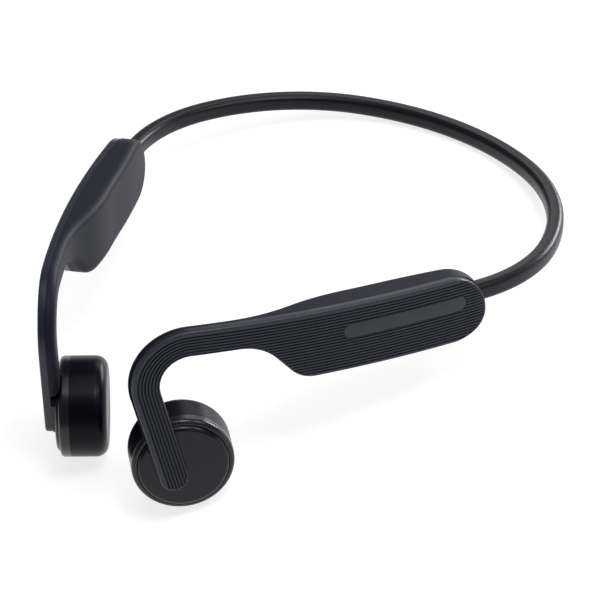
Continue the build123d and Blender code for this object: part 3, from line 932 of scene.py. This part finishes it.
# ---- Sub-assemblies ----
@dataclass
class RibbedCasing:
    """The outer cover of a unit, with moulded ribs that follow its top edge, and its bare capsule panel.

    Attributes:
        view: The unit's side view.
        face: The arc that its outer face follows.
        depth: How deep the cover reaches.
        rim: Rounding of its rim.
        first_groove: Distance of the first groove's middle from the top edge.
        pitch: Distance from one groove to the next.
        grooves: Number of grooves, counted down to the pod's underside.
        groove_width: Width of a groove at the face.
        groove_floor: Width of its floor.
        groove_depth: Its depth.
        panel_start: Where the panel starts, from the pod's rear end.
        panel_length: Its length.
        panel_height: Its height.
        panel_z: Height of its middle line.
        panel_gap: Gap round it.
        panel_sink: How far its face lies behind the cover's.
        panel_depth: Depth of its back.
        panel_rim: Rounding of its rim.
        pocket_rim: Rounding of the bottom of the pocket that it lies in.
        worn_band: Where the top rim gets the painted highlight, as shares of the rim's depth.
        flat_columns: Cuts along the pod and the arm.
        bend_columns: Cuts along the bend.
        strip_columns: Cuts along the strip.
    """

    view: SideView = SideView()
    face: OuterFace = OuterFace()
    depth: float = 1.9
    rim: float = 0.5
    first_groove: float = 1.5
    pitch: float = 0.785
    grooves: int = 20
    groove_width: float = 0.46
    groove_floor: float = 0.2
    groove_depth: float = 0.3
    panel_start: float = 5.2
    panel_length: float = 32.5
    panel_height: float = 3.9
    panel_z: float = -1.05
    panel_gap: float = 0.07
    panel_sink: float = 0.03
    panel_depth: float = 0.5
    panel_rim: float = 0.14
    pocket_rim: float = 0.02
    worn_band: tuple[float, float] = (0.2, 0.4)
    flat_columns: int = 24
    bend_columns: int = 36
    strip_columns: int = 6

    def groove_middles(self) -> list[float]:
        """Distances of the grooves from the top edge."""
        return [self.first_groove + self.pitch * index for index in range(self.grooves)]

    def columns(self) -> list[float]:
        """Runs at which the slabs are cut so that they can follow the face and the bend."""
        view = self.view
        flats, bends, strips = self.flat_columns, self.bend_columns, self.strip_columns
        flat = [view.bend_start * step / flats for step in range(1, flats + 1)]
        bend = [view.bend_start + view.bend_run * step / bends for step in range(1, bends + 1)]
        strip = [view.tip_run - view.strip_length * step / strips for step in range(strips - 1)]
        return flat + bend + strip

    def laid_out(self, shape: bmesh.types.BMesh) -> bmesh.types.BMesh:
        """Rolls a slab from the unrolled view onto the unit's face."""
        for vert in shape.verts:
            station, z = self.view.roll(vert.co.x, vert.co.y)
            vert.co = self.face.point(station, z, vert.co.z)
        return shape

    def capsule(self, margin: float) -> list[Vector]:
        """Outline of the panel, grown by a margin, in the unrolled view."""
        radius = self.panel_height / 2 + margin
        left = self.panel_start + self.panel_height / 2
        right = self.panel_start + self.panel_length - self.panel_height / 2
        middle = self.panel_z - self.view.top
        pen = Pen(Vector((left, middle - radius)), Vector((1, 0)))
        pen.line_to(Vector((right, middle - radius)))
        pen.arc_to(Vector((right, middle + radius)))
        pen.line_to(Vector((left, middle + radius)))
        pen.arc_to(Vector((left, middle - radius)))
        return pen.points[:-1]

    def cover(self) -> bmesh.types.BMesh:
        """The ribbed cover, in worn millimetres."""
        shape = slab(self.view.outline(), 0.0, self.depth, self.rim)
        cut_rows(shape, 0, self.columns())
        for middle in self.groove_middles():
            offsets = (self.groove_width / 2, self.groove_floor / 2)
            cut_rows(shape, 1, [-middle + offset * way for offset in offsets for way in (1, -1)])
        skin = self.rim * 0.05
        for vert in shape.verts:
            away = min(abs(vert.co.y + middle) for middle in self.groove_middles())
            if vert.co.z < skin and away < self.groove_floor:
                vert.co.z += self.groove_depth
        back = self.panel_depth + self.panel_sink
        pocket = slab(self.capsule(self.panel_gap), -1.0, back, self.pocket_rim)
        shape = carved(shape, pocket)
        # Groove floors are marked for a painted shade.
        hollow = shape.verts.layers.float.new(GROOVE)
        # The top rim's rounding is marked for a painted highlight.
        edge = shape.verts.layers.float.new(EDGE)
        highlight_depths = [self.rim * share for share in self.worn_band]
        for vert in shape.verts:
            away = min(abs(vert.co.y + middle) for middle in self.groove_middles())
            if away < self.groove_floor and abs(vert.co.z - self.groove_depth) < skin:
                vert[hollow] = 1.0
            if vert.co.y > -self.rim and highlight_depths[0] < vert.co.z < highlight_depths[1]:
                vert[edge] = 1.0
        return self.laid_out(shape)

    def panel(self) -> bmesh.types.BMesh:
        """The smooth panel, in worn millimetres."""
        shape = slab(self.capsule(0.0), self.panel_sink, self.panel_depth, self.panel_rim)
        cut_rows(shape, 0, [run for run in self.columns() if run < self.panel_start + self.panel_length])
        return self.laid_out(shape)

    def build(self, bench: Workbench, side: Side) -> None:
        """Makes both pieces of a side and sets them on its arm."""
        cover = bench.piece(self.cover(), f"{side.word}_ribbed_cover", side, CASING)
        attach(cover, side.arm)
        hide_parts(f"{side.word}_outer_cover")
        panel = bench.piece(self.panel(), f"{side.word}_smooth_panel", side, PANEL)
        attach(panel, side.arm)
        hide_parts(f"{side.word}_badge_panel")


@dataclass
class Neckband:
    """The band behind the neck: a silicone sleeve over a spring wire and a cable, made in two halves.

    Attributes:
        route: The half's plan.
        width: The sleeve's width.
        height: Its height.
        corner: Radius of its corners.
        wire_diameter: The spring wire's diameter.
        cable_diameter: The cable's diameter.
        core_spacing: Distance between the two.
        wire_insert: How far the wire reaches into the pod.
        cable_insert: How far the cable does.
        hinge_way: Where the middle of the flex lies along the route.
        flex_length: Length over which the band bends.
        stem_steps: Rows of faces in the straight part.
        arc_step: Longest face along an arc.
        core_sides: Faces round a core.
    """

    route: BandRoute = BandRoute()
    width: float = 4.2
    height: float = 4.6
    corner: float = 1.5
    wire_diameter: float = 1.3
    cable_diameter: float = 1.0
    core_spacing: float = 1.9
    wire_insert: float = 10.0
    cable_insert: float = 11.5
    hinge_way: float = 37.8
    flex_length: float = 46.0
    stem_steps: int = 4
    arc_step: float = 1.6
    core_sides: int = 16

    def swept(self, section: list[Vector], insert: float) -> bmesh.types.BMesh:
        """Sweeps a section along half of the band.

        Args:
            section: Its outline, with x towards the inside of the loop and y up.
            insert: How far it reaches into the pod.

        Returns:
            A mesh that is closed at the pod and open at the middle of the neck.
        """
        route = self.route
        shape = bmesh.new()
        heading = route.backwards()
        inside = Vector((-heading.y, heading.x, 0))
        point = route.start() - heading * (insert - route.insert)
        loop = [shape.verts.new(point + inside * at.x + Vector((0, 0, at.y))) for at in section]
        end = shape.faces.new(loop)
        edges: list[Any] = end.edges[:]
        stem = insert + route.straight
        for _ in range(self.stem_steps):
            made = bmesh.ops.extrude_edge_only(shape, edges=edges)["geom"]
            verts = [item for item in made if isinstance(item, bmesh.types.BMVert)]
            edges = [item for item in made if isinstance(item, bmesh.types.BMEdge) and item.is_boundary]
            bmesh.ops.translate(shape, vec=heading * stem / self.stem_steps, verts=verts)
        point += heading * stem
        for arc in route.legs():
            centre = route.centre(point, heading, arc.radius)
            angle = math.radians(arc.turn)
            steps = math.ceil(arc.radius * angle / self.arc_step)
            ends = {vert for edge in edges for vert in edge.verts}
            swept = bmesh.ops.spin(
                shape,
                geom=[*ends, *edges],
                cent=centre,
                axis=(0, 0, 1),
                angle=angle,
                steps=steps,
                use_duplicate=False,
            )
            edges = [item for item in swept["geom_last"] if isinstance(item, bmesh.types.BMEdge)]
            turn = Matrix.Rotation(angle, 3, "Z")
            point, heading = centre + turn @ (point - centre), turn @ heading
        bmesh.ops.recalc_face_normals(shape, faces=shape.faces)
        return shape

    def sleeve_section(self) -> list[Vector]:
        """The sleeve's outline: a rounded upright block."""
        x, y, r = self.width / 2, self.height / 2, self.corner
        pen = Pen(Vector((r - x, -y)), Vector((1, 0)))
        pen.line_to(Vector((x - r, -y)))
        pen.arc_to(Vector((x, r - y)))
        pen.line_to(Vector((x, y - r)))
        pen.arc_to(Vector((x - r, y)))
        pen.line_to(Vector((r - x, y)))
        pen.arc_to(Vector((-x, y - r)))
        pen.line_to(Vector((-x, r - y)))
        pen.arc_to(Vector((r - x, -y)))
        return pen.points[:-1]

    def core_section(self, diameter: float, z: float) -> list[Vector]:
        """A round core's outline."""
        angles = [2 * math.pi * index / self.core_sides for index in range(self.core_sides)]
        circle = [Vector((math.cos(angle), math.sin(angle))) for angle in angles]
        return [point * diameter / 2 + Vector((0, z)) for point in circle]

    def build(self, bench: Workbench) -> None:
        """Makes all halves, one of each layer on each side. The ends of each half's flex are worked out
        but not used.
        """
        shift = self.core_spacing / 2
        wire = self.core_section(self.wire_diameter, shift)
        cable = self.core_section(self.cable_diameter, -shift)
        layers = [
            ("sleeve", "neckband_sleeve", self.sleeve_section(), self.route.insert, BAND, "band"),
            ("wire", "neckband_wire", wire, self.wire_insert, WIRE, "wire"),
            ("lead", "neckband_cable", cable, self.cable_insert, CABLE, "cable"),
        ]
        for word, node, section, insert, finish, slot in layers:
            for side in Side:
                shape = self.swept(section, insert)
                half = bench.piece(shape, f"band_{word}_{side.word}", side, finish)
                place = bench.stand.sided(side)
                start = place @ self.route.along(self.hinge_way + self.flex_length / 2)
                end = place @ self.route.along(self.hinge_way - self.flex_length / 2)
                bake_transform(half)
                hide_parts(node)


@dataclass(frozen=True)
class Softbox:
    """A soft rectangular lamp.

    Attributes:
        name: Its name.
        direction: Where it hangs, seen from the product, in worn axes.
        distance: How far away it hangs, in metres.
        width: Its width, in metres.
        height: Its height, in metres.
        power: Its power, in watts.
    """

    name: str
    direction: tuple[float, float, float]
    distance: float
    width: float
    height: float
    power: float


@dataclass
class Studio:
    """A pale floor, soft lamps and the camera.

    Attributes:
        azimuth: The camera's angle round the product, in degrees from its front.
        elevation: Its angle over the level of the worn band, in degrees.
        distance: Its distance from the target, in worn millimetres.
        target: The point that it looks at, in worn millimetres.
        lens: Its focal length, in millimetres.
        sensor: Width of its sensor, in millimetres.
        clip: The nearest and farthest distance that it sees, in metres.
        ambient: How strongly the surroundings light the product.
        floor_size: Half the floor's width, in metres.
        paper: Colour of the floor.
        glow: What the floor adds to look white.
        lamps: The soft lamps.
    """

    azimuth: float = 40.05
    elevation: float = 30.53
    distance: float = 736.6
    target: tuple[float, float, float] = (25.19, -29.84, -1.87)
    lens: float = 184.73
    sensor: float = 36.0
    clip: tuple[float, float] = (0.05, 10.0)
    ambient: float = 0.18
    floor_size: float = 3.0
    paper: Colour = (0.50, 0.50, 0.505)
    glow: float = 0.76
    lamps: tuple[Softbox, ...] = (
        Softbox("overhead", (0.12, -0.12, 1.0), 0.95, 0.7, 0.7, 2.2),
        Softbox("key", (0.62, 0.13, 0.78), 1.0, 0.2, 0.2, 1.5),
        Softbox("front", (0.44, -0.28, 0.86), 0.9, 0.2, 0.2, 1.8),
        Softbox("side", (0.88, -0.22, 0.45), 1.0, 0.7, 0.25, 0.5),
        Softbox("back", (-0.40, 0.68, 0.62), 0.26, 0.12, 0.12, 0.08),
        Softbox("low_back", (0.10, 0.97, 0.26), 0.6, 0.35, 0.16, 6.0),
    )

    def camera(self, stand: Stand) -> None:
        """Sets the camera, which stands level to the headphones as worn."""
        across, up = math.radians(self.azimuth), math.radians(self.elevation)
        right = Vector((math.cos(across), math.sin(across), 0))
        back = Vector((math.sin(across) * math.cos(up), -math.cos(across) * math.cos(up), math.sin(up)))
        place = Matrix((right, back.cross(right), back)).transposed().to_4x4()
        place.translation = Vector(self.target) + back * self.distance
        turned = stand.matrix @ place
        data = bpy.data.cameras.new("camera")
        data.lens = self.lens
        data.sensor_width = self.sensor
        data.clip_start, data.clip_end = self.clip
        camera = bpy.data.objects.new("camera", data)
        camera.matrix_world = Matrix.LocRotScale(turned.translation, turned.to_quaternion(), None)
        bpy.context.scene.collection.objects.link(camera)
        bpy.context.scene.camera = camera

    def floor(self) -> None:
        """Makes the floor, which looks white and keeps the shadow."""
        shape = bmesh.new()
        bmesh.ops.create_grid(shape, x_segments=1, y_segments=1, size=self.floor_size)
        mesh = bpy.data.meshes.new("floor")
        shape.to_mesh(mesh)
        shape.free()
        floor = bpy.data.objects.new("floor", mesh)
        bpy.context.scene.collection.objects.link(floor)
        graph = Graph("pale_floor")
        path = graph.node("ShaderNodeLightPath")
        direct = Value(graph, path["Is Camera Ray"])
        seen = (direct + path["Is Glossy Ray"] + path["Is Transmission Ray"]).clamped()
        paper = graph.node("ShaderNodeBsdfDiffuse", None, {"Color": graph.rgba(self.paper)})[0]
        light = {"Color": (1, 1, 1, 1), "Strength": seen * self.glow}
        glow = graph.node("ShaderNodeEmission", None, light)[0]
        both = graph.node("ShaderNodeAddShader", None, {0: paper, 1: glow})[0]
        graph.node("ShaderNodeOutputMaterial", None, {"Surface": both})
        mesh.materials.append(graph.material)

    def lamp(self, stand: Stand, lamp: Softbox) -> None:
        """Hangs a soft lamp that faces the product."""
        data = bpy.data.lights.new(lamp.name, "AREA")
        data.shape = "RECTANGLE"
        data.size, data.size_y = lamp.width, lamp.height
        data.energy = lamp.power
        place = stand.matrix @ (Vector(lamp.direction).normalized() * lamp.distance / MM)
        hung = bpy.data.objects.new(lamp.name, data)
        hung.matrix_world = Matrix.LocRotScale(place, (-place).to_track_quat("-Z", "Y"), None)
        bpy.context.scene.collection.objects.link(hung)

    def backdrop(self) -> None:
        """Makes the surroundings: white where they are seen, and dim as a light."""
        graph = Graph("studio", bpy.data.worlds.new("studio"))
        path = graph.node("ShaderNodeLightPath")
        strength = Value(graph, path["Is Camera Ray"]) * (1 - self.ambient) + self.ambient
        sky = graph.node("ShaderNodeBackground", None, {"Color": (1, 1, 1, 1), "Strength": strength})[0]
        graph.node("ShaderNodeOutputWorld", None, {"Surface": sky})
        bpy.context.scene.world = graph.material

    def build(self, stand: Stand) -> None:
        """Sets up the whole studio."""
        self.camera(stand)
        self.floor()
        for lamp in self.lamps:
            self.lamp(stand, lamp)
        self.backdrop()
        bpy.context.scene.view_settings.view_transform = "Standard"


def dress_nodes(frame: dict[str, Any], bench: Workbench) -> None:
    """Gives every node of the frame the finish of its slot."""
    for part in frame["record"]["subparts"]:
        mesh = frame["nodes"][part["node"]].data
        finish = NODE_FINISHES.get(part["node"], SLOT_FINISHES[part["material_slot"]])
        mesh.materials.clear()
        mesh.materials.append(bench.material(finish))


def main() -> None:
    """Builds the scene around the frame."""
    logging.basicConfig(level=logging.INFO, format="%(name)s: %(message)s")
    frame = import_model()
    stand = Stand.from_frame(frame, DiscPlace())
    bench = Workbench(stand)
    Studio().build(stand)
    dress_nodes(frame, bench)
    for side in Side:
        RibbedCasing().build(bench, side)
    Neckband().build(bench)


if __name__ == "__main__":
    main()
